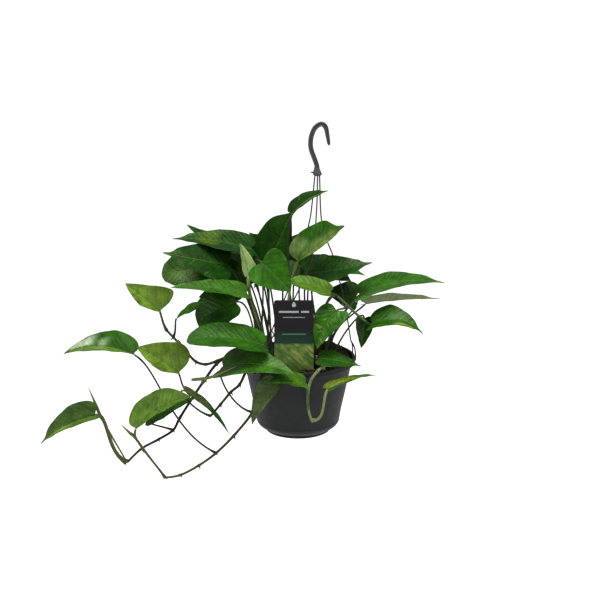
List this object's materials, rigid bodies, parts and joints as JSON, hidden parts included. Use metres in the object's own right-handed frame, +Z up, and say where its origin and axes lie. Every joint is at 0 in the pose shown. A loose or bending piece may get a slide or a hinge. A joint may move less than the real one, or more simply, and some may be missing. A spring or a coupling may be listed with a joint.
{
  "type": "hanging potted plant",
  "caption": "Trailing heart-leaved vine plant in a round plastic pot on a drip saucer, hung by three thin strands from a hook, with a care label standing in the soil.",
  "frame": {"origin": "underside of the hook's bend, where a rail or a ceiling hook carries it", "axes": "+Z up; -Y towards the care label, the front; +X to the right seen from the front, so the longest vines trail towards -X"},
  "size_m": [0.5212, 0.2125, 0.4469],
  "materials": {
    "pot": "satin anthracite, moulded",
    "saucer": "satin anthracite, moulded",
    "soil": "rough damp peat",
    "hook": "satin grey, moulded",
    "strand": "dark satin, moulded",
    "label": "printed card, black above and leaf print below",
    "stem": "smooth vine skin",
    "leaf": "waxy leaf, paler and duller beneath",
    "new_leaf": "pale waxy new leaf"
  },
  "bodies": {
    "root": {"care_label": "label", "drip_saucer": "saucer", "hook": "hook", "leaf_back_1": "leaf", "leaf_back_2": "leaf", "leaf_back_3": "leaf", "leaf_crown_1": "leaf", "leaf_crown_10": "leaf", "leaf_crown_2": "leaf", "leaf_crown_3": "leaf", "leaf_crown_4": "leaf", "leaf_crown_5": "leaf", "leaf_crown_6": "leaf", "leaf_crown_7": "leaf", "leaf_crown_8": "leaf", "leaf_crown_9": "leaf", "leaf_front_1": "leaf", "leaf_front_2": "leaf", "leaf_front_3": "leaf", "leaf_front_4": "leaf", "leaf_front_5": "leaf", "leaf_front_6": "leaf", "leaf_front_7": "leaf", "leaf_left_1": "leaf", "leaf_left_10": "leaf", "leaf_left_2": "leaf", "leaf_left_3": "leaf", "leaf_left_4": "leaf", "leaf_left_5": "leaf", "leaf_left_6": "leaf", "leaf_left_7": "leaf", "leaf_left_8": "leaf", "leaf_left_9": "leaf", "leaf_right_1": "leaf", "leaf_right_2": "leaf", "leaf_right_3": "leaf", "leaf_right_4": "leaf", "leaf_right_5": "leaf", "leaf_vine_1": "leaf", "leaf_vine_2": "leaf", "leaf_vine_3": "leaf", "leaf_vine_4": "leaf", "leaf_vine_5": "leaf", "leaf_vine_6": "leaf", "new_leaf_long": "new_leaf", "new_leaf_mid": "new_leaf", "new_leaf_tip": "new_leaf", "pot": "pot", "soil": "soil", "stem_arch": "stem", "stem_crown": "stem", "strand_back": "strand", "strand_left": "strand", "strand_right": "strand", "vine_front": "stem", "vine_high": "stem", "vine_long": "stem", "vine_mid": "stem", "vine_short": "stem"}
  },
  "joints": []
}
